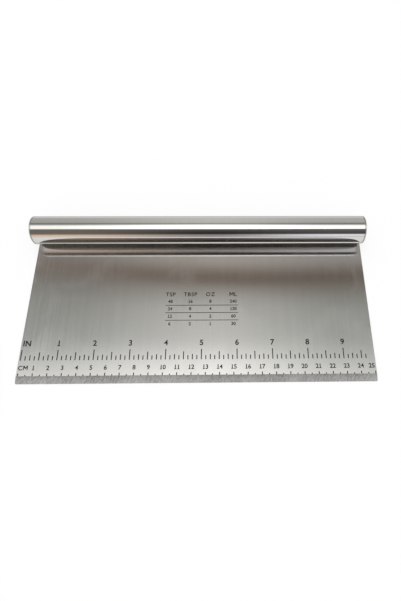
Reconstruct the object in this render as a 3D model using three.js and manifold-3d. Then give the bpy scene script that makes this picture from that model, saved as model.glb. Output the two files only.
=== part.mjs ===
// Dough scraper of stainless steel, lying face up as on a table. Millimetres, +Z up.
// A flat sheet blade has a ground working edge. A round tube handle lies on the blade's front face, and the
// sheet's top curls up round the back of the tube. A pressed cup closes each end of the tube. Nothing moves.
// X runs along the handle, Y from the working edge towards the handle. The origin is at the middle of the
// footprint, on the table.

import * as THREE from "three";
import { mergeVertices } from "three/addons/utils/BufferGeometryUtils.js";
import Module from "manifold-3d";

// Blade
const BLADE_WIDTH = 252;
const EDGE_TO_AXIS = 115; // working edge to the tube's axis, along the blade
const SHEET = 1.0;
const CORNER_RADIUS = 1.0;
const BEVEL_WIDTH = 5.4;
const EDGE_THICKNESS = 0.3; // what the grinding leaves at the working edge
const CURL_ANGLE = THREE.MathUtils.degToRad(80); // how far the sheet goes round the tube from under its axis

// Handle
const TUBE_DIAMETER = 21;
const TUBE_WALL = 0.8;

// End caps
const CAP_FACE = 1.2; // thickness of the closed end
const CAP_ROUNDING = 0.8; // outer edge of the closed end
const CAP_SKIRT = 4.0; // how far the cup reaches into the tube
const CAP_WALL = 0.8;

// Fits
const SEAT_CLEARANCE = 0.2; // between the tube and the sheet under and behind it
const SKIRT_CLEARANCE = 0.15; // round the cup inside the tube
const CAP_SEAM = 0.1; // between a cap and the tube's end

// Fineness of the round forms
const ROUND_FACETS = 72; // round the tube and the caps
const SMALL_ARC_STEPS = 3; // an arc gets twice as many facets

const TUBE_RADIUS = TUBE_DIAMETER / 2;
const SEAT_RADIUS = TUBE_RADIUS + SEAT_CLEARANCE;
const TUBE_LENGTH = BLADE_WIDTH - 2 * (CAP_FACE + CAP_SEAM); // the caps end flush with the blade's sides

// The tube's axis in the side view: along the blade, and above its front face
const AXIS = new THREE.Vector2(EDGE_TO_AXIS, SEAT_RADIUS);

const wasm = await Module();
wasm.setup();

/** Turns a section drawn in the Y-Z plane, extruded along local Z, so that it runs along X. */
const ALONG_X = new THREE.Matrix4().makeBasis(
  new THREE.Vector3(0, 1, 0),
  new THREE.Vector3(0, 0, 1),
  new THREE.Vector3(1, 0, 0),
);

/** A side view extruded along X, centred on X = 0. */
function extrudeAlongX(sideView, width, arcSteps) {
  const geometry = new THREE.ExtrudeGeometry(sideView, {
    depth: width,
    bevelEnabled: false,
    curveSegments: arcSteps,
  });
  return geometry.translate(0, 0, -width / 2).applyMatrix4(ALONG_X);
}

/** A closed geometry as a solid that can be joined and cut. */
function toSolid(geometry) {
  const bare = geometry.clone();
  bare.deleteAttribute("normal");
  bare.deleteAttribute("uv");
  const merged = mergeVertices(bare, 1e-4);
  return new wasm.Manifold(
    new wasm.Mesh({
      numProp: 3,
      vertProperties: new Float32Array(merged.attributes.position.array),
      triVerts: new Uint32Array(merged.index.array),
    }),
  );
}

/** A solid as a geometry with flat faces. */
function toGeometry(solid) {
  const mesh = solid.getMesh();
  const geometry = new THREE.BufferGeometry();
  geometry.setAttribute("position", new THREE.BufferAttribute(mesh.vertProperties, 3));
  geometry.setIndex(new THREE.BufferAttribute(mesh.triVerts, 1));
  const faceted = geometry.toNonIndexed();
  faceted.computeVertexNormals();
  return faceted;
}

function steelMesh(name, geometry, color, roughness) {
  const material = new THREE.MeshStandardMaterial({ color, roughness, metalness: 1 });
  const mesh = new THREE.Mesh(geometry, material);
  mesh.name = name;
  return mesh;
}

/** Side view of the sheet: ground edge, flat blade, and the curl round the tube's back. */
function sheetSideView() {
  const under = -Math.PI / 2;
  const curlEnd = under + CURL_ANGLE;
  const outside = SEAT_RADIUS + SHEET;
  const lip = new THREE.Vector2(Math.cos(curlEnd), Math.sin(curlEnd)).multiplyScalar(SEAT_RADIUS).add(AXIS);
  const view = new THREE.Shape();
  view.moveTo(0, EDGE_THICKNESS - SHEET);
  view.lineTo(0, -SHEET);
  view.lineTo(AXIS.x, -SHEET);
  view.absarc(AXIS.x, AXIS.y, outside, under, curlEnd, false);
  view.lineTo(lip.x, lip.y);
  view.absarc(AXIS.x, AXIS.y, SEAT_RADIUS, curlEnd, under, true);
  view.lineTo(BEVEL_WIDTH, 0);
  view.closePath();
  return view;
}

/** Face view of the sheet: straight sides, with rounded corners at the working edge. */
function sheetFaceView() {
  const side = BLADE_WIDTH / 2;
  const corner = side - CORNER_RADIUS;
  const top = EDGE_TO_AXIS + TUBE_DIAMETER;
  const view = new THREE.Shape();
  view.moveTo(-corner, 0);
  view.lineTo(corner, 0);
  view.absarc(corner, CORNER_RADIUS, CORNER_RADIUS, -Math.PI / 2, 0, false);
  view.lineTo(side, top);
  view.lineTo(-side, top);
  view.absarc(-corner, CORNER_RADIUS, CORNER_RADIUS, Math.PI, 1.5 * Math.PI, false);
  view.closePath();
  return view;
}

/** The sheet is what its side view and its face view have in common. */
function makeBlade() {
  const curlSteps = Math.ceil((ROUND_FACETS * CURL_ANGLE) / (4 * Math.PI));
  const alongWidth = extrudeAlongX(sheetSideView(), BLADE_WIDTH, curlSteps);
  const depth = 4 * TUBE_DIAMETER;
  const throughFace = new THREE.ExtrudeGeometry(sheetFaceView(), {
    depth,
    bevelEnabled: false,
    curveSegments: SMALL_ARC_STEPS,
  }).translate(0, 0, -depth / 2);
  const solid = toSolid(alongWidth).intersect(toSolid(throughFace));
  return steelMesh("blade", toGeometry(solid), 0x9a9894, 0.4);
}

/** A plain round tube, open at both ends. */
function makeTube() {
  const ring = new THREE.Shape();
  ring.absarc(AXIS.x, AXIS.y, TUBE_RADIUS, 0, 2 * Math.PI, false);
  const bore = new THREE.Path();
  bore.absarc(AXIS.x, AXIS.y, TUBE_RADIUS - TUBE_WALL, 0, 2 * Math.PI, true);
  ring.holes.push(bore);
  return steelMesh("handle_tube", extrudeAlongX(ring, TUBE_LENGTH, ROUND_FACETS / 2), 0xb8b4ae, 0.2);
}

/** A pressed cup, turned about its own axis: closed end with a rounded edge, and a skirt inside the tube. */
function makeCap(name, side) {
  const skirtRadius = TUBE_RADIUS - TUBE_WALL - SKIRT_CLEARANCE;
  const profile = new THREE.Path();
  profile.moveTo(0, 0);
  profile.lineTo(TUBE_RADIUS - CAP_ROUNDING, 0);
  profile.absarc(TUBE_RADIUS - CAP_ROUNDING, CAP_ROUNDING, CAP_ROUNDING, -Math.PI / 2, 0, false);
  profile.lineTo(TUBE_RADIUS, CAP_FACE);
  profile.lineTo(skirtRadius, CAP_FACE);
  profile.lineTo(skirtRadius, CAP_FACE + CAP_SKIRT);
  profile.lineTo(skirtRadius - CAP_WALL, CAP_FACE + CAP_SKIRT);
  profile.lineTo(skirtRadius - CAP_WALL, CAP_FACE);
  profile.lineTo(0, CAP_FACE);
  const geometry = new THREE.LatheGeometry(profile.getPoints(SMALL_ARC_STEPS), ROUND_FACETS);
  const cap = steelMesh(name, geometry, 0xb0aca6, 0.25);
  cap.rotation.z = (side * Math.PI) / 2;
  cap.position.set(side * (BLADE_WIDTH / 2), AXIS.x, AXIS.y);
  return cap;
}

const scraper = new THREE.Group();
scraper.add(makeBlade(), makeTube(), makeCap("left_end_cap", -1), makeCap("right_end_cap", 1));

// The footprint's middle comes to the origin, and the blade's back to the table.
const box = new THREE.Box3().setFromObject(scraper, true);
const middle = box.getCenter(new THREE.Vector3());
scraper.position.set(-middle.x, -middle.y, -box.min.z);

export default scraper;
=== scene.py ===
"""Looks of a dough scraper of stainless steel that lies face up on a pale table.

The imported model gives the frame, in metres: X along the handle, Y from the working edge towards the
handle, Z up. Each steel piece is made again at the size and place of its solid, with softened edges and
with a direction for its grain. The rulers and the table of measures on the blade are thin etched marks.
"""

import json
import logging
import math
from collections.abc import Sequence
from dataclasses import dataclass, field
from enum import Enum
from typing import Any

import bmesh
import bpy
from bmesh.types import BMesh
from bpy.types import Material, Mesh, Node, NodeOutputs, NodeSocket, NodeTree, Object
from mathutils import Matrix, Vector


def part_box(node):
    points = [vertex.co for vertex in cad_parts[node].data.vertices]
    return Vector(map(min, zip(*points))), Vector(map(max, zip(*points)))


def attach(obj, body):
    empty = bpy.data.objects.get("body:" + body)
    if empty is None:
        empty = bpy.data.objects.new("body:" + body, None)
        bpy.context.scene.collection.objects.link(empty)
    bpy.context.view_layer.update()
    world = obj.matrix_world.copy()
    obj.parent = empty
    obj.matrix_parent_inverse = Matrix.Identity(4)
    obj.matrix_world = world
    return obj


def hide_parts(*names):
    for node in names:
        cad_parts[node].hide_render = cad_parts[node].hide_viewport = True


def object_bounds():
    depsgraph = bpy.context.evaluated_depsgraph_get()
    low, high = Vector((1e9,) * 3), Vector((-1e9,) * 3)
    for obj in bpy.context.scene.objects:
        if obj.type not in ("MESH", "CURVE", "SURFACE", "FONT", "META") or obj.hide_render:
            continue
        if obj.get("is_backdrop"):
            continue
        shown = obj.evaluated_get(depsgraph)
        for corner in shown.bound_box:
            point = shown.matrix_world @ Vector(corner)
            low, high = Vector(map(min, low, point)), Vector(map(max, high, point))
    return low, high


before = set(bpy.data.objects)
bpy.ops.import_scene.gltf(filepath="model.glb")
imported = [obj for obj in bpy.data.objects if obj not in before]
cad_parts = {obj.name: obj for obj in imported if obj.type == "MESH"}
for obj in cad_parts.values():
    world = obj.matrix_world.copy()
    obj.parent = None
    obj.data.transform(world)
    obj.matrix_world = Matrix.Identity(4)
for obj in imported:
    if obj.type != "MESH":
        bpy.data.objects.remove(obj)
CAD_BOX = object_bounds()

LOG = logging.getLogger("dough_scraper")
MM = 0.001
BODY = "root"
GRAIN = "grain"  # UV map of every steel piece, in metres: U across the brushing, V along it
ALONG_HANDLE = Vector((1.0, 0.0, 0.0))
MASK = (0.0, 1.0)  # the ends of a mask
NOISE_SPAN = (0.3, 0.7)  # where nearly all values of a noise texture lie

Colour = tuple[float, float, float]
WHITE: Colour = (1.0, 1.0, 1.0)
Grid = list[list[Vector]]
GrainGrid = list[list[tuple[float, float]]]


class Slot(Enum):
    """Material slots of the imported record."""

    BLADE = "blade_steel"
    HANDLE = "handle_steel"
    CAP = "cap_steel"
    MARKS = "scale_marks"


class Side(Enum):
    """An end of the handle, as the sign of its X."""

    LEFT = -1
    RIGHT = 1


class Align(Enum):
    """How a unit stands about its place on the blade, as the share of its width to the left of it."""

    LEFT = 0.0
    CENTRE = 0.5


class Mixed(Enum):
    """What a Mix node mixes: its data type, and the numbers of its two inputs and of its output."""

    VALUES = ("FLOAT", 2, 3, 0)
    COLOURS = ("RGBA", 6, 7, 2)


def rgba(colour: Colour) -> tuple[float, float, float, float]:
    """Returns a colour with full opacity."""
    return (*colour, 1.0)


def shade(colour: Colour, gain: float) -> Colour:
    """Returns a colour made lighter or darker by a gain."""
    return tuple(channel * gain for channel in colour)


def smooth_share(share: float) -> float:
    """Returns a share between 0 and 1 that starts and ends gently."""
    share = min(max(share, 0.0), 1.0)
    return share * share * (3 - 2 * share)


def new_material(name: str) -> tuple[Material, NodeTree]:
    """Makes a material without nodes.

    Args:
        name: Its name.

    Returns:
        The material and its node tree.
    """
    material = bpy.data.materials.new(name)
    material.use_nodes = True
    material.node_tree.nodes.clear()
    return material, material.node_tree


def add_node(tree: NodeTree, kind: str, inputs: dict[Any, Any] | None = None, **settings: Any) -> Node:
    """Adds a node to a tree.

    Args:
        tree: The node tree of a material, a world or a group.
        kind: The node's type.
        inputs: For each input, by name or number, a constant or a socket to link from.
        settings: Properties of the node itself.

    Returns:
        The new node.
    """
    node = tree.nodes.new(kind)
    for name, value in settings.items():
        setattr(node, name, value)
    for name, value in (inputs or {}).items():
        if isinstance(value, NodeSocket):
            tree.links.new(value, node.inputs[name])
        else:
            node.inputs[name].default_value = value
    return node


def add_math(tree: NodeTree, operation: str, *values: Any) -> NodeSocket:
    """Adds a Math node with its operands, and returns its output."""
    return add_node(tree, "ShaderNodeMath", dict(enumerate(values)), operation=operation).outputs[0]


def add_ramp(tree: NodeTree, value: Any, span: Sequence[Any], result: Sequence[Any]) -> NodeSocket:
    """Adds a smooth, clamped Map Range node.

    Args:
        tree: The node tree.
        value: The socket that is mapped.
        span: Where the ramp begins and ends.
        result: What it gives there.

    Returns:
        The node's output.
    """
    (start, end), (low, high) = span, result
    inputs = {"Value": value, "From Min": start, "From Max": end, "To Min": low, "To Max": high}
    return add_node(tree, "ShaderNodeMapRange", inputs, interpolation_type="SMOOTHSTEP").outputs[0]


def add_mix(tree: NodeTree, mixed: Mixed, factor: Any, first: Any, second: Any) -> NodeSocket:
    """Adds a Mix node.

    Args:
        tree: The node tree.
        mixed: Whether values or colours are mixed.
        factor: 0 for the first, 1 for the second.
        first: A value, a colour with opacity, or a socket.
        second: What it is mixed with, of the same kind.

    Returns:
        The mixed value or colour.
    """
    data_type, first_in, second_in, mixed_out = mixed.value
    inputs = {0: factor, first_in: first, second_in: second}
    return add_node(tree, "ShaderNodeMix", inputs, data_type=data_type).outputs[mixed_out]


def add_noise(tree: NodeTree, place: Any, scale: Any, **sockets: float) -> NodeSocket:
    """Adds a flat Noise Texture node at a place, and returns its value."""
    inputs = {"Vector": place, "Scale": scale} | sockets
    return add_node(tree, "ShaderNodeTexNoise", inputs, noise_dimensions="2D").outputs[0]


def add_stretch(tree: NodeTree, place: Any, stretch: Any) -> NodeSocket:
    """Adds a Vector Math node that multiplies a place by a stretch, and returns the result."""
    return add_node(tree, "ShaderNodeVectorMath", {0: place, 1: stretch}, operation="MULTIPLY").outputs[0]


def add_turn(tree: NodeTree, place: Any, angle: float) -> NodeSocket:
    """Adds a Mapping node that turns a place about Z, and returns the result."""
    return add_node(tree, "ShaderNodeMapping", {"Vector": place, "Rotation": (0.0, 0.0, angle)}).outputs[0]


def add_bump(tree: NodeTree, strength: float, relief: float, height: NodeSocket) -> NodeSocket:
    """Adds a Bump node, and returns its normal."""
    inputs = {"Strength": strength, "Distance": relief, "Height": height}
    return add_node(tree, "ShaderNodeBump", inputs).outputs[0]


@dataclass
class EffectGroup:
    """A shader node group with named sockets, built once and placed in each material that uses it."""

    name: str
    inputs: dict[str, str]
    outputs: tuple[str, ...]
    tree: NodeTree | None = None

    def begin(self) -> tuple[Node, Node]:
        """Makes the empty group.

        Returns:
            The group's input and output nodes.
        """
        self.tree = bpy.data.node_groups.new(self.name, "ShaderNodeTree")
        for socket, kind in self.inputs.items():
            self.tree.interface.new_socket(socket, in_out="INPUT", socket_type=kind)
        for socket in self.outputs:
            self.tree.interface.new_socket(socket, in_out="OUTPUT", socket_type="NodeSocketFloat")
        return add_node(self.tree, "NodeGroupInput"), add_node(self.tree, "NodeGroupOutput")

    def place(self, tree: NodeTree, **values: Any) -> NodeOutputs:
        """Places the group in a material with a value for each input, and returns its outputs."""
        return add_node(tree, "ShaderNodeGroup", values, node_tree=self.tree).outputs


class Effects:
    """The surface effects that several finishes share."""

    BANDS_PER_STREAK = 0.08
    SMUDGE_SPAN = (0.45, 0.75)
    SCRATCHES = (1400.0, 22.0, 1.0)  # to the metre, across them and along them
    SCRATCH_LEANS = (math.radians(24), math.radians(-57))
    SCRATCH_SPAN = (0.74, 0.80)  # only the crests of the noise become scratches
    # patches of the rims' painted shade and wear
    WEAR_PATCHES = 420.0  # to the metre
    WEAR_SPREAD = (0.5, 1.5)  # narrowest and widest, as shares of the width

    def __init__(self) -> None:
        """Builds each node group."""
        self.brushing = self._brushing()
        self.handling = self._handling()
        self.rim_wear = self._rim_wear()

    def _brushing(self) -> EffectGroup:
        """Makes fine and broad streaks along V, with so many to the metre across and along.

        Returns:
            The group.
        """
        inputs = {"Grain": "NodeSocketVector", "Across": "NodeSocketFloat", "Along": "NodeSocketFloat"}
        group = EffectGroup("brushing", inputs, ("Streaks", "Bands"))
        given, result = group.begin()
        tree = group.tree
        across, along = given.outputs["Across"], given.outputs["Along"]
        density = add_node(tree, "ShaderNodeCombineXYZ", {"X": across, "Y": along}).outputs[0]
        place = add_stretch(tree, given.outputs["Grain"], density)
        streaks = add_noise(tree, place, 1.0, Detail=4.0, Roughness=0.65)
        bands = add_noise(tree, place, self.BANDS_PER_STREAK, Detail=3.0, Roughness=0.6)
        tree.links.new(add_ramp(tree, streaks, NOISE_SPAN, MASK), result.inputs["Streaks"])
        tree.links.new(add_ramp(tree, bands, NOISE_SPAN, MASK), result.inputs["Bands"])
        return group

    def _handling(self) -> EffectGroup:
        """Makes soft smudges, so many to the metre, and thin scratches in two directions.

        Returns:
            The group.
        """
        inputs = {"Grain": "NodeSocketVector", "Smudges": "NodeSocketFloat"}
        group = EffectGroup("handling", inputs, ("Smudge", "Scratch"))
        given, result = group.begin()
        tree, grain = group.tree, given.outputs["Grain"]
        smudge = add_noise(tree, grain, given.outputs["Smudges"], Detail=3.0, Distortion=0.6)
        tree.links.new(add_ramp(tree, smudge, self.SMUDGE_SPAN, MASK), result.inputs["Smudge"])
        scratches = []
        for lean in self.SCRATCH_LEANS:
            line = add_noise(tree, add_stretch(tree, add_turn(tree, grain, lean), self.SCRATCHES), 1.0)
            scratches.append(add_ramp(tree, line, self.SCRATCH_SPAN, MASK))
        tree.links.new(add_math(tree, "MAXIMUM", *scratches), result.inputs["Scratch"])
        return group

    def _rim_wear(self) -> EffectGroup:
        """Makes an uneven mask that fades out over a width from a rim, for the painted shade and the wear
        along it.

        Returns:
            The group.
        """
        inputs = {"Grain": "NodeSocketVector", "Distance": "NodeSocketFloat", "Width": "NodeSocketFloat"}
        group = EffectGroup("rim_wear", inputs, ("Wear",))
        given, result = group.begin()
        tree = group.tree
        patchy = add_noise(tree, given.outputs["Grain"], self.WEAR_PATCHES, Detail=4.0)
        spread = add_ramp(tree, patchy, NOISE_SPAN, self.WEAR_SPREAD)
        width = add_math(tree, "MULTIPLY", given.outputs["Width"], spread)
        # mask of the painted shade and the wear along a rim
        shade_and_wear = add_ramp(tree, given.outputs["Distance"], (0.0, width), (1.0, 0.0))
        tree.links.new(shade_and_wear, result.inputs["Wear"])
        return group


def streak_colour(
    tree: NodeTree, brushing: NodeOutputs, colour: Colour, tint: tuple[float, float], band_share: float
) -> NodeSocket:
    """Colours a steel by its streaks.

    Args:
        tree: The material's node tree.
        brushing: The fine streaks and the broad bands.
        colour: The steel's colour.
        tint: Gains of the darkest and the lightest streaks.
        band_share: How much of the tint goes by the bands.

    Returns:
        The colour.
    """
    tone = add_mix(tree, Mixed.VALUES, band_share, brushing["Streaks"], brushing["Bands"])
    dark, light = (rgba(shade(colour, gain)) for gain in tint)
    return add_mix(tree, Mixed.COLOURS, tone, dark, light)


@dataclass(frozen=True, kw_only=True)
class SteelFinish:
    """A brushed or polished steel: its colour, its gloss and the marks of its making."""

    name: str
    colour: Colour
    roughness: tuple[float, float]  # in the troughs and on the crests of the streaks
    across: float  # streaks to the metre across the brushing
    along: float  # streaks to the metre along it
    relief: float
    anisotropy: float
    smudges: float  # to the metre
    rim: float  # where the piece ends, across the grain
    rim_width: float
    # gain of the painted shade along the rim, at the seams and the blade's side edges
    rim_tone: float
    rim_roughness: float = 0.06
    tint: tuple[float, float] = (0.94, 1.04)  # gains of the darkest and the lightest streaks
    band_share: float = 0.5  # how much of the tint goes by the broad bands
    glancing: float = 0.6  # tint of what the steel mirrors at a glancing angle
    bump: float = 0.35
    smudge_roughness: float = 0.04
    scratch_height: float = -0.6  # as a share of a streak's height

    def material(self, effects: Effects) -> Material:
        """Builds the material.

        Args:
            effects: The shared node groups.

        Returns:
            The material, with the grain's direction taken from the piece's UV map.
        """
        material, tree = new_material(self.name)
        grain = add_node(tree, "ShaderNodeUVMap", uv_map=GRAIN).outputs["UV"]
        colour, roughness, height = self.surface(tree, grain, effects)
        tangent = add_node(tree, "ShaderNodeTangent", direction_type="UV_MAP", uv_map=GRAIN).outputs[0]
        inputs = {
            "Base Color": colour,
            "Metallic": 1.0,
            "Roughness": roughness,
            "Specular Tint": rgba(shade(WHITE, self.glancing)),
            "Anisotropic": self.anisotropy,
            "Tangent": tangent,
            "Normal": add_bump(tree, self.bump, self.relief, height),
        }
        steel = add_node(tree, "ShaderNodeBsdfPrincipled", inputs)
        add_node(tree, "ShaderNodeOutputMaterial", {"Surface": steel.outputs[0]})
        return material

    def surface(self, tree: NodeTree, grain: NodeSocket, effects: Effects) -> tuple[NodeSocket, ...]:
        """Lays the streaks, smudges and scratches over the steel, and painted shade with wear along the rims.

        Args:
            tree: The material's node tree.
            grain: The piece's grain coordinates.
            effects: The shared node groups.

        Returns:
            The colour, the roughness and the height.
        """
        brushing = effects.brushing.place(tree, Grain=grain, Across=self.across, Along=self.along)
        handling = effects.handling.place(tree, Grain=grain, Smudges=self.smudges)
        distance = self.rim_distance(tree, grain)
        shade_and_wear = effects.rim_wear.place(tree, Grain=grain, Distance=distance, Width=self.rim_width)["Wear"]
        colour = streak_colour(tree, brushing, self.colour, self.tint, self.band_share)
        # painted shade darkens the rims where the pieces meet and along the blade's edges; the same mask
        # roughens them as wear
        colour = add_mix(tree, Mixed.COLOURS, shade_and_wear, colour, rgba(shade(self.colour, self.rim_tone)))
        roughness = add_ramp(tree, brushing["Streaks"], MASK, self.roughness)
        roughness = add_math(tree, "MULTIPLY_ADD", handling["Smudge"], self.smudge_roughness, roughness)
        roughness = add_math(tree, "MULTIPLY_ADD", shade_and_wear, self.rim_roughness, roughness)
        height = add_math(tree, "MULTIPLY_ADD", handling["Scratch"], self.scratch_height, brushing["Streaks"])
        return colour, roughness, height

    def rim_distance(self, tree: NodeTree, grain: NodeSocket) -> NodeSocket:
        """Returns how far a point lies from the piece's end, across the grain."""
        across = add_node(tree, "ShaderNodeSeparateXYZ", {0: grain}).outputs["X"]
        return add_math(tree, "SUBTRACT", self.rim, add_math(tree, "ABSOLUTE", across))


@dataclass(frozen=True, kw_only=True)
class GroundBladeFinish(SteelFinish):
    """Brushed steel with a coarser grind along the working edge."""

    bevel: float  # width of the ground strip
    bevel_blend: float = 0.1 * MM
    ground_colour: Colour = (0.35, 0.345, 0.34)
    ground_tint: tuple[float, float] = (0.45, 1.6)
    ground_band_share: float = 0.2
    ground_roughness: tuple[float, float] = (0.42, 0.62)
    cut_slant: float = math.radians(28)
    cuts_across: float = 900.0  # to the metre
    cuts_along: float = 330.0
    cut_height: float = 4.0  # as a multiple of a streak's height
    burr: float = 0.5 * MM  # width of the dark line along the top of the bevel
    burr_tone: float = 0.2

    def surface(self, tree: NodeTree, grain: NodeSocket, effects: Effects) -> tuple[NodeSocket, ...]:
        """Lays the grind of the edge over the brushed steel.

        Args:
            tree: The material's node tree.
            grain: The piece's grain coordinates.
            effects: The shared node groups.

        Returns:
            The colour, the roughness and the height.
        """
        colour, roughness, height = super().surface(tree, grain, effects)
        up = add_node(tree, "ShaderNodeSeparateXYZ", {0: grain}).outputs["Y"]
        on_front = add_math(tree, "GREATER_THAN", up, 0.0)
        blend = (self.bevel - self.bevel_blend, self.bevel + self.bevel_blend)
        ground = add_math(tree, "MULTIPLY", on_front, add_ramp(tree, up, blend, (1.0, 0.0)))
        slanted = add_turn(tree, grain, self.cut_slant)
        cuts = effects.brushing.place(tree, Grain=slanted, Across=self.cuts_across, Along=self.cuts_along)
        cut_colour = streak_colour(tree, cuts, self.ground_colour, self.ground_tint, self.ground_band_share)
        burr = add_ramp(tree, up, (self.bevel - self.burr, self.bevel), (0.0, self.burr_tone))
        darkest = rgba(shade(self.ground_colour, self.ground_tint[0]))
        cut_colour = add_mix(tree, Mixed.COLOURS, burr, cut_colour, darkest)
        cut_roughness = add_ramp(tree, cuts["Streaks"], MASK, self.ground_roughness)
        cut_height = add_math(tree, "MULTIPLY", cuts["Streaks"], self.cut_height)
        return (
            add_mix(tree, Mixed.COLOURS, ground, colour, cut_colour),
            add_mix(tree, Mixed.VALUES, ground, roughness, cut_roughness),
            add_mix(tree, Mixed.VALUES, ground, height, cut_height),
        )


@dataclass(frozen=True)
class EtchedFinish:
    """Dark etched steel: matt, and a little uneven."""

    name: str = "etched_marks"
    dark: Colour = (0.008, 0.008, 0.009)
    light: Colour = (0.030, 0.030, 0.031)
    light_span: tuple[float, float] = (0.35, 0.7)
    roughness: tuple[float, float] = (0.5, 0.7)
    gloss: float = 0.2
    patches: float = 900.0  # to the metre
    bump: float = 0.2
    relief: float = 0.01 * MM

    def material(self) -> Material:
        """Builds the material.

        Returns:
            The material.
        """
        material, tree = new_material(self.name)
        place = add_node(tree, "ShaderNodeTexCoord").outputs["Object"]
        noise = {"Vector": place, "Scale": self.patches, "Detail": 4.0}
        cloud = add_node(tree, "ShaderNodeTexNoise", noise).outputs[0]
        patchy = add_ramp(tree, cloud, self.light_span, MASK)
        inputs = {
            "Base Color": add_mix(tree, Mixed.COLOURS, patchy, rgba(self.dark), rgba(self.light)),
            "Roughness": add_ramp(tree, cloud, NOISE_SPAN, self.roughness),
            "Specular IOR Level": self.gloss,
            "Normal": add_bump(tree, self.bump, self.relief, cloud),
        }
        etched = add_node(tree, "ShaderNodeBsdfPrincipled", inputs)
        add_node(tree, "ShaderNodeOutputMaterial", {"Surface": etched.outputs[0]})
        return material


def link_object(name: str, data: bpy.types.ID) -> Object:
    """Makes an object at the scene's origin.

    Args:
        name: Its name.
        data: Its mesh, curve, lamp or camera.

    Returns:
        The new object.
    """
    piece = bpy.data.objects.new(name, data)
    bpy.context.scene.collection.objects.link(piece)
    return piece


def object_from(bm: BMesh, name: str, smooth: bool = True) -> Object:
    """Turns a draft mesh into an object.

    Args:
        bm: The draft, which is freed.
        name: The object's name.
        smooth: Whether all its faces are shaded smooth.

    Returns:
        The new object.
    """
    bmesh.ops.recalc_face_normals(bm, faces=bm.faces)
    for face in bm.faces:
        face.smooth |= smooth
    mesh = bpy.data.meshes.new(name)
    bm.to_mesh(mesh)
    bm.free()
    return link_object(name, mesh)


def soften_edges(piece: Object, width: float, steps: int = 3, hard: float = math.radians(35)) -> None:
    """Rounds a piece's hard edges and keeps its flats flat.

    Args:
        piece: The piece.
        width: How much the rounding takes off.
        steps: How many facets the rounding has.
        hard: The angle from which an edge is hard.
    """
    bevel = piece.modifiers.new("soft_edges", "BEVEL")
    bevel.width = width
    bevel.segments = steps
    bevel.limit_method = "ANGLE"
    bevel.angle_limit = hard
    normals = piece.modifiers.new("flat_faces", "WEIGHTED_NORMAL")
    normals.keep_sharp = True


def ring_round(centre: Vector, radius: float, facets: int) -> list[Vector]:
    """Returns evenly spaced points round a centre, in a plane across the handle."""
    turns = (math.tau * step / facets for step in range(facets))
    return [centre + Vector((0.0, math.cos(turn), math.sin(turn))) * radius for turn in turns]


def ring_grain(across: float, radius: float, facets: int) -> list[tuple[float, float]]:
    """Returns the grain coordinates of such a ring, with its first point again at the end."""
    return [(across, math.tau * step / facets * radius) for step in range(facets + 1)]


@dataclass
class TwoSkinWall:
    """A closed wall between an outer and an inner grid of points.

    It is a sheet, or a tube whose rows close on themselves. The outer skin stays sharp along its creases.
    """

    outer: Grid
    inner: Grid
    outer_grain: GrainGrid
    inner_grain: GrainGrid
    ring: bool = False
    creases: set[int] = field(default_factory=set)

    def build(self, name: str) -> Object:
        """Makes the wall.

        Args:
            name: The object's name.

        Returns:
            The object, with its grain coordinates.
        """
        bm = bmesh.new()
        layer = bm.loops.layers.uv.new(GRAIN)
        grains = (self.outer_grain, self.inner_grain)
        skins = (self.outer, self.inner)
        verts = [[[bm.verts.new(point) for point in row] for row in skin] for skin in skins]
        points = len(self.outer[0])
        rows, columns = len(self.outer) - 1, points if self.ring else points - 1

        def patch(*corners: tuple[int, int, int]) -> None:
            """Adds a face.

            Args:
                corners: The skin, the row and the column of each corner.
            """
            face = bm.faces.new([verts[skin][row][column % points] for skin, row, column in corners])
            for loop, (skin, row, column) in zip(face.loops, corners):
                loop[layer].uv = grains[skin][row][column]

        for row in range(rows):
            for column in range(columns):
                around = ((row, column), (row, column + 1), (row + 1, column + 1), (row + 1, column))
                patch(*((0, *place) for place in around))
                patch(*((1, *place) for place in reversed(around)))
        rims = [((row, column), (row, column + 1)) for row in (0, rows) for column in range(columns)]
        if not self.ring:
            rims += [((row, column), (row + 1, column)) for column in (0, columns) for row in range(rows)]
        for start, end in rims:
            patch((0, *start), (1, *start), (1, *end), (0, *end))
        for row in self.creases:
            for column in range(columns):
                bm.edges.get((verts[0][row][column], verts[0][row][column + 1])).smooth = False
        return object_from(bm, name)


@dataclass(frozen=True)
class BladePlane:
    """The blade's flat front: places on it are given from the middle of the working edge."""

    origin: Vector

    def point(self, x: float, up: float, above: float = 0.0) -> Vector:
        """Returns a point at X, up the blade from the edge and above the front face."""
        return self.origin + Vector((x, up, above))

    def matrix(self) -> Matrix:
        """Returns the transform from the plane to the scene."""
        return Matrix.Translation(self.origin)

    def flatten(self, point: Vector) -> Vector:
        """Returns how far a point lies up the blade and above its front face."""
        return (point - self.origin).yz


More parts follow.
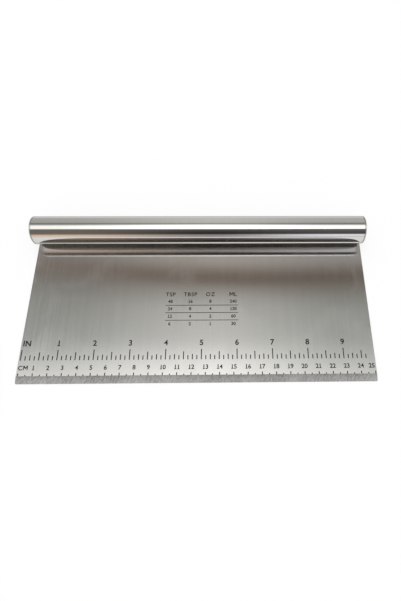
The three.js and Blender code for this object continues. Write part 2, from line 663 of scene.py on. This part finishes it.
@dataclass
class HandleTube:
    """The round tube, which lies on the blade's front face."""

    wall: float = 0.8 * MM
    facets: int = 144
    softness: float = 0.12 * MM
    low: Vector = field(init=False)
    high: Vector = field(init=False)

    def __post_init__(self) -> None:
        """Takes the tube's place and size from its solid."""
        self.low, self.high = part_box("handle_tube")

    @property
    def radius(self) -> float:
        """Outer radius."""
        return max(self.high.y - self.low.y, self.high.z - self.low.z) / 2

    @property
    def half_length(self) -> float:
        """From the middle to an end."""
        return (self.high.x - self.low.x) / 2

    @property
    def axis(self) -> Vector:
        """The middle of the tube."""
        return (self.low + self.high) / 2

    def build(self, finish: SteelFinish, effects: Effects) -> Object:
        """Makes the tube.

        Args:
            finish: The tube's steel.
            effects: The shared node groups.

        Returns:
            The tube.
        """
        outer, inner, outer_grain, inner_grain = [], [], [], []
        skins = ((self.radius, outer, outer_grain), (self.radius - self.wall, inner, inner_grain))
        for x in (-self.half_length, self.half_length):
            for radius, grid, grain in skins:
                grid.append(ring_round(Vector((x, self.axis.y, self.axis.z)), radius, self.facets))
                grain.append(ring_grain(x, radius, self.facets))
        tube = TwoSkinWall(outer, inner, outer_grain, inner_grain, ring=True).build("handle_shell")
        tube.data.materials.append(finish.material(effects))
        soften_edges(tube, self.softness)
        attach(tube, BODY)
        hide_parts("handle_tube")
        return tube


@dataclass(frozen=True)
class SheetRow:
    """One line across the sheet: its two faces in the blade's side view, and its distance along the sheet."""

    front: Vector
    back: Vector
    run: float
    half_width: float


@dataclass
class Blade:
    """The sheet: ground edge, flat face, and the curl round the tube's back."""

    sheet: float = 1.0 * MM
    edge: float = 0.3 * MM
    bevel: float = 5.4 * MM
    corner: float = 1.0 * MM
    softness: float = 0.1 * MM
    corner_steps: int = 6
    curl_steps: int = 24
    back_grain: float = 20.0 * MM  # how far below 0 the grain of the back starts, away from the grind
    plane: BladePlane = field(init=False)
    half_width: float = field(init=False)
    top: float = field(init=False)

    def __post_init__(self) -> None:
        """Takes the sheet's place, width and height from its solid."""
        low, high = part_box("blade")
        self.plane = BladePlane(Vector((0.0, low.y, low.z + self.sheet)))
        self.half_width = high.x
        self.top = high.z

    def rows(self, tube: HandleTube) -> list[SheetRow]:
        """Lists the lines across the sheet, from the working edge to the end of the curl.

        Args:
            tube: The tube that the sheet curls round.

        Returns:
            The rows.
        """
        rows = []
        for step in range(self.corner_steps + 1):
            turn = step / self.corner_steps * math.pi / 2
            up = self.corner * (1 - math.cos(turn))
            ground = (self.sheet - self.edge) * (1 - up / self.bevel)
            width = self.half_width - self.corner * (1 - math.sin(turn))
            rows.append(SheetRow(Vector((up, -ground)), Vector((up, -self.sheet)), up, width))
        front, back = Vector((self.bevel, 0.0)), Vector((self.bevel, -self.sheet))
        rows.append(SheetRow(front, back, self.bevel, self.half_width))
        axis = self.plane.flatten(tube.axis)
        seat = axis.y
        curl = math.pi / 2 - math.asin((tube.axis.z - self.top) / seat)
        for step in range(self.curl_steps + 1):
            turn = step / self.curl_steps * curl
            out = Vector((math.sin(turn), -math.cos(turn)))
            front, back = axis + out * seat, axis + out * (seat + self.sheet)
            rows.append(SheetRow(front, back, axis.x + seat * turn, self.half_width))
        return rows

    def build(self, tube: HandleTube, finish: SteelFinish, effects: Effects) -> Object:
        """Makes the sheet.

        Args:
            tube: The tube that the sheet curls round.
            finish: The sheet's steel.
            effects: The shared node groups.

        Returns:
            The sheet.
        """
        front, back, front_grain, back_grain = [], [], [], []
        for row in self.rows(tube):
            across = (-row.half_width, row.half_width)
            front.append([self.plane.point(x, *row.front) for x in across])
            back.append([self.plane.point(x, *row.back) for x in across])
            front_grain.append([(x, row.run) for x in across])
            back_grain.append([(x, -self.back_grain - row.run) for x in across])
        wall = TwoSkinWall(front, back, front_grain, back_grain, creases={self.corner_steps + 1})
        sheet = wall.build("blade_sheet")
        sheet.data.materials.append(finish.material(effects))
        soften_edges(sheet, self.softness)
        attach(sheet, BODY)
        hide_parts("blade")
        return sheet


@dataclass
class EndCup:
    """A pressed cup that closes an end of the tube."""

    side: Side
    node: str
    face: float = 1.2 * MM
    rounding: float = 0.8 * MM
    wall: float = 0.8 * MM
    clearance: float = 0.15 * MM
    seam_rounding: float = 0.12 * MM
    facets: int = 144
    arc_steps: int = 8

    def profile(self, tube: HandleTube) -> list[Vector]:
        """Draws half of the cup's section.

        Args:
            tube: The tube that the cup closes.

        Returns:
            Depths from the outer face and radii, from the axis round to the axis again.
        """
        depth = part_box(self.node)[1].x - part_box(self.node)[0].x
        rim = tube.radius
        skirt = rim - tube.wall - self.clearance
        outer_round, seam_round = [], []
        for step in range(self.arc_steps + 1):
            turn = step / self.arc_steps * math.pi / 2
            out, across = math.sin(turn), 1 - math.cos(turn)
            outer_round.append(Vector((self.rounding * across, rim - self.rounding * (1 - out))))
            seam_depth = self.face - self.seam_rounding * (1 - out)
            seam_round.append(Vector((seam_depth, rim - self.seam_rounding * across)))
        corners = (
            (self.face, skirt),
            (depth, skirt),
            (depth, skirt - self.wall),
            (self.face, skirt - self.wall),
            (self.face, 0.0),
        )
        return [Vector((0.0, 0.0)), *outer_round, *seam_round, *(Vector(corner) for corner in corners)]

    def build(self, tube: HandleTube, material: Material) -> Object:
        """Makes the cup.

        Args:
            tube: The tube that the cup closes.
            material: The cup's steel.

        Returns:
            The cup.
        """
        low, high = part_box(self.node)
        face_x = high.x if self.side is Side.RIGHT else low.x
        centre = Vector((face_x, tube.axis.y, tube.axis.z))
        inward = ALONG_HANDLE * -self.side.value
        bm = bmesh.new()
        layer = bm.loops.layers.uv.new(GRAIN)
        rings, grains, run = [], [], 0.0
        profile = self.profile(tube)
        for before, place in zip(profile[:1] + profile, profile):
            run += (place - before).length
            grains.append(ring_grain(run, place.y, self.facets))
            middle = centre + inward * place.x
            if place.y == 0.0:
                rings.append([bm.verts.new(middle)] * self.facets)
            else:
                rings.append([bm.verts.new(point) for point in ring_round(middle, place.y, self.facets)])
        for ring in range(len(rings) - 1):
            for step in range(self.facets):
                around = ((ring, step), (ring, step + 1), (ring + 1, step + 1), (ring + 1, step))
                corners = {rings[row][turn % self.facets]: grains[row][turn] for row, turn in around}
                for loop, grain in zip(bm.faces.new(list(corners)).loops, corners.values()):
                    loop[layer].uv = grain
        cup = object_from(bm, f"{self.side.name.lower()}_cup")
        cup.data.materials.append(material)
        soften_edges(cup, self.seam_rounding)
        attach(cup, BODY)
        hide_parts(self.node)
        return cup


# Half of an M's outline, in shares of its height: from the left foot to the middle, and back above.
CAPITAL_M = (
    ((0.0, 0.0), (0.19, 0.0), (0.19, 0.62), (0.5, 0.2)),
    ((0.5, 0.56), (0.2, 1.0), (0.0, 1.0)),
)
WEIGHT_SHARE = {"4": 0.7}  # for digits whose narrow gaps a heavier stroke would fill


def add_plate(bm: BMesh, corners: Sequence[tuple[float, float]], bottom: float, top: float) -> None:
    """Adds a flat plate with straight sides to a draft mesh.

    Args:
        bm: The draft.
        corners: X and Y of the plate's corners, in order.
        bottom: Z of its lower face.
        top: Z of its upper face.
    """
    low, high = ([bm.verts.new((*corner, z)) for corner in corners] for z in (bottom, top))
    bm.faces.new(low[::-1])
    bm.faces.new(high)
    for here in range(len(corners)):
        after = (here + 1) % len(corners)
        bm.faces.new((low[here], low[after], high[after], high[here]))


@dataclass
class EtchedSheet:
    """Marks on the blade's front: bars and figures, collected in the blade's plane and made as one piece."""

    name: str
    plane: BladePlane
    depth: float = 0.02 * MM
    rise: float = 0.02 * MM
    capital: float = 0.729  # height of a capital at font size 1
    pitch: float = 0.68  # from digit to digit, as a share of their height
    letter_gap: float = 0.16  # between letters, as a share of their height
    foot_width: float = 0.55  # of the foot under a 1, as a share of its height
    foot_height: float = 0.1
    curve_steps: int = 4
    weld: float = 0.0001 * MM  # points closer than this become one
    bm: BMesh = field(init=False, default_factory=bmesh.new)

    def bar(self, low: tuple[float, float], high: tuple[float, float]) -> None:
        """Adds an upright or level bar between two corners."""
        corners = (low, (high[0], low[1]), high, (low[0], high[1]))
        add_plate(self.bm, corners, -self.depth, self.rise)

    def capital_m(self, height: float) -> Mesh:
        """Draws an M with its slanted strokes well apart.

        Args:
            height: Its height.

        Returns:
            Its mesh, with its left foot at the origin.
        """
        under, above = CAPITAL_M
        under += tuple((1.0 - x, y) for x, y in under[-2::-1])
        above = tuple((1.0 - x, y) for x, y in above[:0:-1]) + above
        half = (self.depth + self.rise) / 2
        bm = bmesh.new()
        add_plate(bm, [(x * height, y * height) for x, y in under + above], -half, half)
        mesh = bpy.data.meshes.new("character")
        bm.to_mesh(mesh)
        bm.free()
        return mesh

    def character(self, character: str, height: float, weight: float) -> Mesh:
        """Draws a character.

        Args:
            character: A digit or a capital.
            height: The height of a capital.
            weight: How much is added to each side of a stroke.

        Returns:
            Its mesh, with its foot at Y = 0.
        """
        if character == "M":
            return self.capital_m(height)
        curve = bpy.data.curves.new("character", "FONT")
        curve.body = character
        curve.size = height / self.capital
        curve.align_x = "CENTER"
        curve.offset = weight * WEIGHT_SHARE.get(character, 1.0)
        curve.extrude = (self.depth + self.rise) / 2
        curve.resolution_u = self.curve_steps
        holder = link_object("character", curve)
        mesh = bpy.data.meshes.new_from_object(holder.evaluated_get(bpy.context.evaluated_depsgraph_get()))
        bpy.data.objects.remove(holder)
        bpy.data.curves.remove(curve)
        return mesh

    def lay(self, mesh: Mesh, x: float, foot: float) -> None:
        """Moves a character to its place, and takes it into the sheet.

        Args:
            mesh: The character, which is removed.
            x: How far it moves along X.
            foot: The height of its foot.
        """
        mesh.transform(Matrix.Translation((x, foot, (self.rise - self.depth) / 2)))
        self.bm.from_mesh(mesh)
        bpy.data.meshes.remove(mesh)

    def number(self, text: str, place: tuple[float, float], height: float, weight: float) -> None:
        """Adds a number with evenly spaced digits, and with a foot under each 1.

        Args:
            text: The digits.
            place: Where they stand: the X of their middle and the height of their foot.
            height: The digits' height.
            weight: How much is added to each side of a stroke.
        """
        pitch = self.pitch * height
        for index, digit in enumerate(text):
            x = place[0] + (index + 0.5 - len(text) / 2) * pitch
            self.lay(self.character(digit, height, weight), x, place[1])
            if digit == "1":
                half = self.foot_width * height / 2
                self.bar((x - half, place[1] - weight), (x + half, place[1] + self.foot_height * height))

    def unit(self, text: str, place: tuple[float, float], height: float, weight: float, align: Align) -> None:
        """Adds a unit with evenly spaced letters.

        Args:
            text: Its letters.
            place: Where it stands: X and the height of its foot.
            height: The letters' height.
            weight: How much is added to each side of a stroke.
            align: How it stands about X.
        """
        meshes = [self.character(letter, height, weight) for letter in text]
        spans = [[reach(vertex.co.x for vertex in mesh.vertices) for reach in (min, max)] for mesh in meshes]
        gap = self.letter_gap * height
        width = sum(high - low + gap for low, high in spans) - gap
        x = place[0] - align.value * width
        for mesh, (low, high) in zip(meshes, spans):
            self.lay(mesh, x - low, place[1])
            x += high - low + gap

    def build(self, material: Material) -> Object:
        """Makes the piece.

        Args:
            material: The marks' finish.

        Returns:
            The piece.
        """
        bmesh.ops.remove_doubles(self.bm, verts=self.bm.verts, dist=self.weld)
        self.bm.transform(self.plane.matrix())
        piece = object_from(self.bm, self.name, smooth=False)
        piece.data.materials.append(material)
        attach(piece, BODY)
        return piece


@dataclass(frozen=True)
class Ruler:
    """A ruler along the blade: ticks on a base line, whole units numbered, and its unit at the left."""

    name: str
    unit: str
    step: float  # one whole unit
    parts: int  # ticks to a unit
    ticks: int
    base: float
    tick_heights: dict[int, float]  # of every so many ticks, the longest first
    foot: float
    figure: float  # height of a number
    weight: float
    unit_left: float
    tick_width: float = 0.7 * MM
    zero: float = 1.2 * MM  # from the blade's left side to the first tick
    side_margin: float = 0.7 * MM
    pair_width: float = 1.45  # of a number with two digits, as a share of its height

    def tick_height(self, tick: int) -> float:
        """Returns a tick's height: the first in the list that falls on it."""
        return next(height for every, height in self.tick_heights.items() if tick % every == 0)

    def build(self, blade: Blade, material: Material) -> Object:
        """Makes the ruler.

        Args:
            blade: The blade that it is marked on.
            material: The marks' finish.

        Returns:
            The ruler.
        """
        sheet = EtchedSheet(self.name, blade.plane)
        left = -blade.half_width
        for tick in range(self.ticks + 1):
            x = left + self.zero + tick * self.step / self.parts
            low = (x - self.tick_width / 2, self.base)
            sheet.bar(low, (x + self.tick_width / 2, self.base + self.tick_height(tick)))
        rightmost = blade.half_width - self.side_margin - self.figure * self.pair_width / 2
        for number in range(1, self.ticks // self.parts + 1):
            x = min(left + self.zero + number * self.step, rightmost)
            sheet.number(str(number), (x, self.foot), self.figure, self.weight)
        sheet.unit(self.unit, (left + self.unit_left, self.foot), self.figure, self.weight, Align.LEFT)
        return sheet.build(material)


@dataclass(frozen=True)
class MeasuresTable:
    """A plain table of kitchen measures in the middle of the blade: a row of units, then rows of figures."""

    left: float = 101.1 * MM  # from the blade's left side, as are the columns
    right: float = 154.9 * MM
    columns: tuple[float, ...] = (104.4 * MM, 119.25 * MM, 134.2 * MM, 151.2 * MM)
    units: tuple[str, ...] = ("TSP", "TBSP", "OZ", "ML")
    figures: tuple[tuple[str, ...], ...] = (
        ("48", "16", "8", "240"),
        ("24", "8", "4", "120"),
        ("12", "4", "2", "60"),
        ("6", "2", "1", "30"),
    )
    units_foot: float = 64.5 * MM
    first_foot: float = 59.15 * MM
    pitch: float = 5.83 * MM
    rule_gap: float = 1.7 * MM
    rule: float = 0.45 * MM
    unit_height: float = 3.1 * MM
    unit_weight: float = 0.08 * MM
    figure_height: float = 2.5 * MM
    weight: float = 0.09 * MM

    def build(self, blade: Blade, material: Material) -> Object:
        """Makes the table.

        Args:
            blade: The blade that it is marked on.
            material: The marks' finish.

        Returns:
            The table.
        """
        sheet = EtchedSheet("measures_table", blade.plane)
        edge = -blade.half_width
        for column, unit in zip(self.columns, self.units):
            place = (edge + column, self.units_foot)
            sheet.unit(unit, place, self.unit_height, self.unit_weight, Align.CENTRE)
        for index, row in enumerate(self.figures):
            foot = self.first_foot - index * self.pitch
            for column, figure in zip(self.columns, row):
                sheet.number(figure, (edge + column, foot), self.figure_height, self.weight)
            if index < len(self.figures) - 1:
                top = foot - self.rule_gap
                sheet.bar((edge + self.left, top - self.rule), (edge + self.right, top))
        return sheet.build(material)


@dataclass(frozen=True)
class PhotoCamera:
    """The camera of the photograph, where it stood over the scraper."""

    eye: tuple[float, float, float] = (21.05 * MM, -110.29 * MM, 282.62 * MM)
    down: float = math.radians(69.09)
    right: float = math.radians(2.958)
    roll: float = math.radians(-2.479)
    focal: float = 403.0  # in pixels of the picture
    picture_height: int = 601
    shift: tuple[float, float] = (-0.0575, 0.0008)  # of the picture's middle off the lens's axis, in heights
    sensor: float = 36.0
    nearest: float = 1.0 * MM

    def build(self) -> Object:
        """Makes the camera the scene's own.

        Returns:
            The camera.
        """
        data = bpy.data.cameras.new("photo_camera")
        data.sensor_fit = "VERTICAL"
        data.sensor_height = self.sensor
        data.lens = self.focal * self.sensor / self.picture_height
        data.shift_x, data.shift_y = self.shift
        data.clip_start = self.nearest
        camera = link_object("photo_camera", data)
        level = math.cos(self.down)
        forward = Vector((math.sin(self.right) * level, math.cos(self.right) * level, -math.sin(self.down)))
        flat_right = forward.cross(Vector((0.0, 0.0, 1.0))).normalized()
        flat_down = forward.cross(flat_right)
        right = flat_right * math.cos(self.roll) + flat_down * math.sin(self.roll)
        turn = Matrix((right, right.cross(forward), -forward)).transposed().to_4x4()
        camera.matrix_world = Matrix.Translation(self.eye) @ turn
        bpy.context.scene.camera = camera
        return camera


@dataclass(frozen=True)
class TentStop:
    """What the light tent shows at an angle over the table: 0 ahead of the edge, 90 overhead, 180 behind."""

    angle: float
    middle: Colour
    left: Colour
    right: Colour
    bow: float = 0.0  # how much the angle grows away from the bow's place, in degrees to the square metre


@dataclass(frozen=True)
class Studio:
    """A white table under a soft lamp, inside a light tent that only the steel mirrors."""

    table_radius: float = 1.6
    table_facets: int = 96
    table_glow: float = 0.6  # the part of the table's white that no shadow dims
    ambient: float = 0.68
    lamp_height: float = 8.0
    lamp_size: float = 7.2
    lamp_power: float = 256.0
    tent_radius: float = 6.0
    tent_half: float = 12.0  # from its middle to an end
    side_place: tuple[float, float] = (-2.6, 1.75)  # where the stops' left and right colours hold
    middle_place: float = -0.2  # where their middle colours hold
    bow_place: float = 0.6
    end_places: tuple[float, float] = (3.6, 5.4)  # over this stretch the tent turns plain towards its ends
    end_glow: Colour = (0.92, 0.92, 0.91)
    tent_rows: int = 540
    tent_columns: int = 80
    stops: tuple[TentStop, ...] = (
        TentStop(0, (0.34, 0.31, 0.30), (1.00, 0.80, 0.66), (0.58, 0.57, 0.60)),
        TentStop(13, (0.42, 0.38, 0.38), (0.97, 0.77, 0.63), (1.16, 1.18, 1.24)),
        TentStop(20, (0.30, 0.27, 0.28), (0.70, 0.56, 0.46), (0.98, 0.99, 1.05)),
        TentStop(28, (0.04, 0.03, 0.03), (0.24, 0.20, 0.17), (0.09, 0.09, 0.10)),
        TentStop(42, (0.04, 0.04, 0.04), (0.20, 0.18, 0.16), (0.10, 0.10, 0.11)),
        TentStop(65, (0.14, 0.12, 0.11), (0.22, 0.19, 0.17), (0.18, 0.16, 0.15)),
        TentStop(73, (2.90, 2.90, 2.88), (1.50, 1.50, 1.46), (2.20, 2.20, 2.20)),
        TentStop(93, (2.50, 2.50, 2.48), (1.40, 1.40, 1.36), (1.70, 1.70, 1.70)),
        TentStop(97.5, (1.75, 1.75, 1.73), (1.20, 1.20, 1.18), (1.06, 1.07, 1.05)),
        TentStop(102, (1.33, 1.33, 1.31), (0.72, 0.74, 0.73), (0.65, 0.67, 0.65)),
        TentStop(104.5, (0.91, 0.91, 0.89), (0.45, 0.47, 0.46), (0.47, 0.50, 0.47)),
        TentStop(109.5, (0.77, 0.77, 0.74), (0.34, 0.35, 0.33), (0.38, 0.40, 0.38), bow=0.06),
        TentStop(112.4, (0.46, 0.44, 0.41), (0.23, 0.21, 0.19), (0.23, 0.21, 0.18), bow=0.18),
        TentStop(113.5, (0.17, 0.120, 0.092), (0.25, 0.20, 0.17), (0.13, 0.10, 0.075), bow=0.21),
        TentStop(114.5, (0.18, 0.125, 0.092), (0.25, 0.20, 0.17), (0.14, 0.10, 0.075), bow=0.21),
        TentStop(116.6, (0.59, 0.55, 0.51), (0.36, 0.34, 0.33), (0.43, 0.41, 0.39), bow=0.18),
        TentStop(126, (0.70, 0.69, 0.67), (0.50, 0.49, 0.47), (0.54, 0.53, 0.52)),
        TentStop(180, (0.76, 0.76, 0.74), (0.60, 0.60, 0.58), (0.64, 0.64, 0.63)),
    )

    def build(self) -> None:
        """Makes the table, the lamp, the tent and the world."""
        self._table()
        self._lamp()
        self._tent()
        self._world()
        bpy.context.scene.view_settings.view_transform = "Standard"

    @staticmethod
    def _seen(tree: NodeTree) -> NodeSocket:
        """Marks what is seen, mirrored or looked at through glass.

        Args:
            tree: The node tree of a material or of the world.

        Returns:
            1 there, and 0 for other light.
        """
        path = add_node(tree, "ShaderNodeLightPath").outputs
        mirrored = add_math(tree, "MAXIMUM", path["Is Glossy Ray"], path["Is Transmission Ray"])
        return add_math(tree, "MAXIMUM", path["Is Camera Ray"], mirrored)

    def _table(self) -> None:
        """Makes the white table top, which keeps a part of each shadow."""
        bm = bmesh.new()
        bmesh.ops.create_circle(bm, cap_ends=True, segments=self.table_facets, radius=self.table_radius)
        table = object_from(bm, "table")
        material, tree = new_material("white_table")
        matt = add_node(tree, "ShaderNodeBsdfDiffuse", {"Color": rgba(WHITE)})
        glow = add_node(tree, "ShaderNodeEmission", {"Color": rgba(WHITE), "Strength": 1.0})
        share = add_math(tree, "MULTIPLY", self._seen(tree), self.table_glow)
        mix = add_node(tree, "ShaderNodeMixShader", {0: share, 1: matt.outputs[0], 2: glow.outputs[0]})
        add_node(tree, "ShaderNodeOutputMaterial", {"Surface": mix.outputs[0]})
        table.data.materials.append(material)
        table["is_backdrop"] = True

    def _lamp(self) -> None:
        """Makes the soft lamp overhead, which casts the shadow on the table."""
        data = bpy.data.lights.new("soft_lamp", "AREA")
        data.shape = "SQUARE"
        data.size = self.lamp_size
        data.energy = self.lamp_power
        lamp = link_object("soft_lamp", data)
        lamp.location = (0.0, 0.0, self.lamp_height)
        lamp.visible_glossy = False

    def glow(self, angle: float, x: float) -> Colour:
        """Mixes the tent's colour at a place.

        Args:
            angle: The angle over the table, in degrees.
            x: The place along the tent.

        Returns:
            The colour.
        """
        angles = [stop.angle + stop.bow * (x - self.bow_place) ** 2 for stop in self.stops]
        after = next((index for index, place in enumerate(angles) if place >= angle), len(angles) - 1)
        before = max(after - 1, 0)
        gap = angles[after] - angles[before]
        share = min((angle - angles[before]) / gap, 1.0) if gap else 0.0
        low, high = (Vector(self.across(self.stops[index], x)) for index in (before, after))
        start, end = self.end_places
        plain = smooth_share((abs(x) - start) / (end - start))
        return tuple(low.lerp(high, share).lerp(Vector(self.end_glow), plain))

    def across(self, stop: TentStop, x: float) -> Colour:
        """Mixes a stop's colour at a place along the tent.

        Args:
            stop: The stop.
            x: The place along the tent.

        Returns:
            The colour.
        """
        side, edge = (0, stop.left) if x < self.middle_place else (1, stop.right)
        reach = smooth_share((x - self.middle_place) / (self.side_place[side] - self.middle_place))
        return tuple(Vector(stop.middle).lerp(Vector(edge), reach))

    def _tent(self) -> None:
        """Makes the half round tent over the table."""
        bm = bmesh.new()
        layer = bm.verts.layers.float_color.new("glow")
        rows = []
        for row in range(self.tent_rows + 1):
            angle = 180.0 * row / self.tent_rows
            turn = math.radians(angle)
            arc = Vector((0.0, -math.cos(turn), math.sin(turn))) * self.tent_radius
            line = []
            for column in range(self.tent_columns + 1):
                x = self.tent_half * (2 * column / self.tent_columns - 1)
                vertex = bm.verts.new(arc + ALONG_HANDLE * x)
                vertex[layer] = rgba(self.glow(angle, x))
                line.append(vertex)
            rows.append(line)
        for row in range(self.tent_rows):
            for column in range(self.tent_columns):
                ends = slice(column, column + 2)
                bm.faces.new(rows[row][ends] + rows[row + 1][ends][::-1])
        tent = object_from(bm, "light_tent")
        material, tree = new_material("tent_glow")
        colour = add_node(tree, "ShaderNodeAttribute", attribute_name="glow").outputs["Color"]
        light = add_node(tree, "ShaderNodeEmission", {"Color": colour})
        add_node(tree, "ShaderNodeOutputMaterial", {"Surface": light.outputs[0]})
        tent.data.materials.append(material)
        tent.visible_camera = False
        tent.visible_diffuse = False
        tent.visible_shadow = False
        tent.visible_transmission = False
        tent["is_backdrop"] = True

    def _world(self) -> None:
        """Makes the world: white where it is seen or mirrored, and a plain level of light elsewhere."""
        world = bpy.data.worlds.new("studio")
        world.use_nodes = True
        bpy.context.scene.world = world
        tree = world.node_tree
        tree.nodes.clear()
        plain = add_node(tree, "ShaderNodeBackground", {"Color": rgba(WHITE), "Strength": self.ambient})
        white = add_node(tree, "ShaderNodeBackground", {"Color": rgba(WHITE), "Strength": 1.0})
        shaders = {0: self._seen(tree), 1: plain.outputs[0], 2: white.outputs[0]}
        mix = add_node(tree, "ShaderNodeMixShader", shaders)
        add_node(tree, "ShaderNodeOutputWorld", {"Surface": mix.outputs[0]})


def steel_finishes(blade: Blade, tube: HandleTube) -> dict[Slot, SteelFinish]:
    """Lists the steel of each piece.

    Args:
        blade: The blade, for its width and its bevel.
        tube: The tube, for its length and radius.

    Returns:
        The finish of each slot.
    """
    brushed = GroundBladeFinish(
        name="brushed_blade_steel",
        colour=(0.62, 0.61, 0.59),
        roughness=(0.13, 0.17),
        across=2600.0,
        along=14.0,
        relief=0.0006 * MM,
        anisotropy=0.95,
        smudges=34.0,
        # painted shade along the blade's side edges, with wear
        rim=blade.half_width,
        rim_width=0.9 * MM,
        rim_tone=0.75,
        tint=(0.975, 1.015),
        bevel=blade.bevel,
    )
    polished = SteelFinish(
        name="polished_tube_steel",
        colour=(0.66, 0.65, 0.63),
        roughness=(0.07, 0.1),
        across=3200.0,
        along=30.0,
        relief=0.0003 * MM,
        anisotropy=0.3,
        smudges=60.0,
        # painted shade at the tube's ends, by the cups, with wear
        rim=tube.half_length,
        rim_width=0.6 * MM,
        rim_tone=0.85,
        tint=(0.985, 1.01),
    )
    spun = SteelFinish(
        name="spun_cup_steel",
        colour=(0.64, 0.63, 0.61),
        roughness=(0.14, 0.24),
        across=4200.0,
        along=40.0,
        relief=0.003 * MM,
        anisotropy=0.5,
        smudges=90.0,
        # painted shade on the cup's rounded rim at the seam, with wear
        rim=tube.radius,
        rim_width=0.5 * MM,
        rim_tone=0.75,
    )
    return {Slot.BLADE: brushed, Slot.HANDLE: polished, Slot.CAP: spun}


def rulers(blade: Blade) -> tuple[Ruler, Ruler]:
    """Lists the rulers.

    Args:
        blade: The blade, for its bevel.

    Returns:
        The inch ruler and the centimetre ruler.
    """
    inches = Ruler(
        name="inch_ruler",
        unit="IN",
        step=25.4 * MM,
        parts=8,
        ticks=77,
        base=16.4 * MM,
        tick_heights={8: 7.6 * MM, 4: 5.8 * MM, 2: 3.9 * MM, 1: 3.1 * MM},
        foot=26.8 * MM,
        figure=4.1 * MM,
        weight=0.15 * MM,
        unit_left=1.4 * MM,
    )
    centimetres = Ruler(
        name="centimetre_ruler",
        unit="CM",
        step=10.0 * MM,
        parts=2,
        ticks=50,
        base=blade.bevel,
        tick_heights={2: 1.9 * MM, 1: 0.95 * MM},
        foot=9.6 * MM,
        figure=3.2 * MM,
        weight=0.11 * MM,
        unit_left=0.7 * MM,
    )
    return inches, centimetres


def write_sizes() -> None:
    """Puts the solids' box and the finished model's box into JSON text, which is not kept."""
    boxes = {"cad": CAD_BOX, "visual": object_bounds()}
    json.dumps({name: [list(corner) for corner in box] for name, box in boxes.items()})


def main() -> None:
    """Builds the camera, the studio and each piece of the scraper."""
    logging.basicConfig(level=logging.INFO, format="%(name)s: %(message)s")
    PhotoCamera().build()
    Studio().build()
    effects = Effects()
    tube, blade = HandleTube(), Blade()
    steel = steel_finishes(blade, tube)
    pieces = [
        blade.build(tube, steel[Slot.BLADE], effects),
        tube.build(steel[Slot.HANDLE], effects),
    ]
    cup_steel = steel[Slot.CAP].material(effects)
    for side in Side:
        pieces.append(EndCup(side, f"{side.name.lower()}_end_cap").build(tube, cup_steel))
    etched = EtchedFinish().material()
    pieces += [ruler.build(blade, etched) for ruler in rulers(blade)]
    pieces.append(MeasuresTable().build(blade, etched))
    for piece in pieces:
        LOG.info("%s: %d faces", piece.name, len(piece.data.polygons))
    write_sizes()


if __name__ == "__main__":
    main()
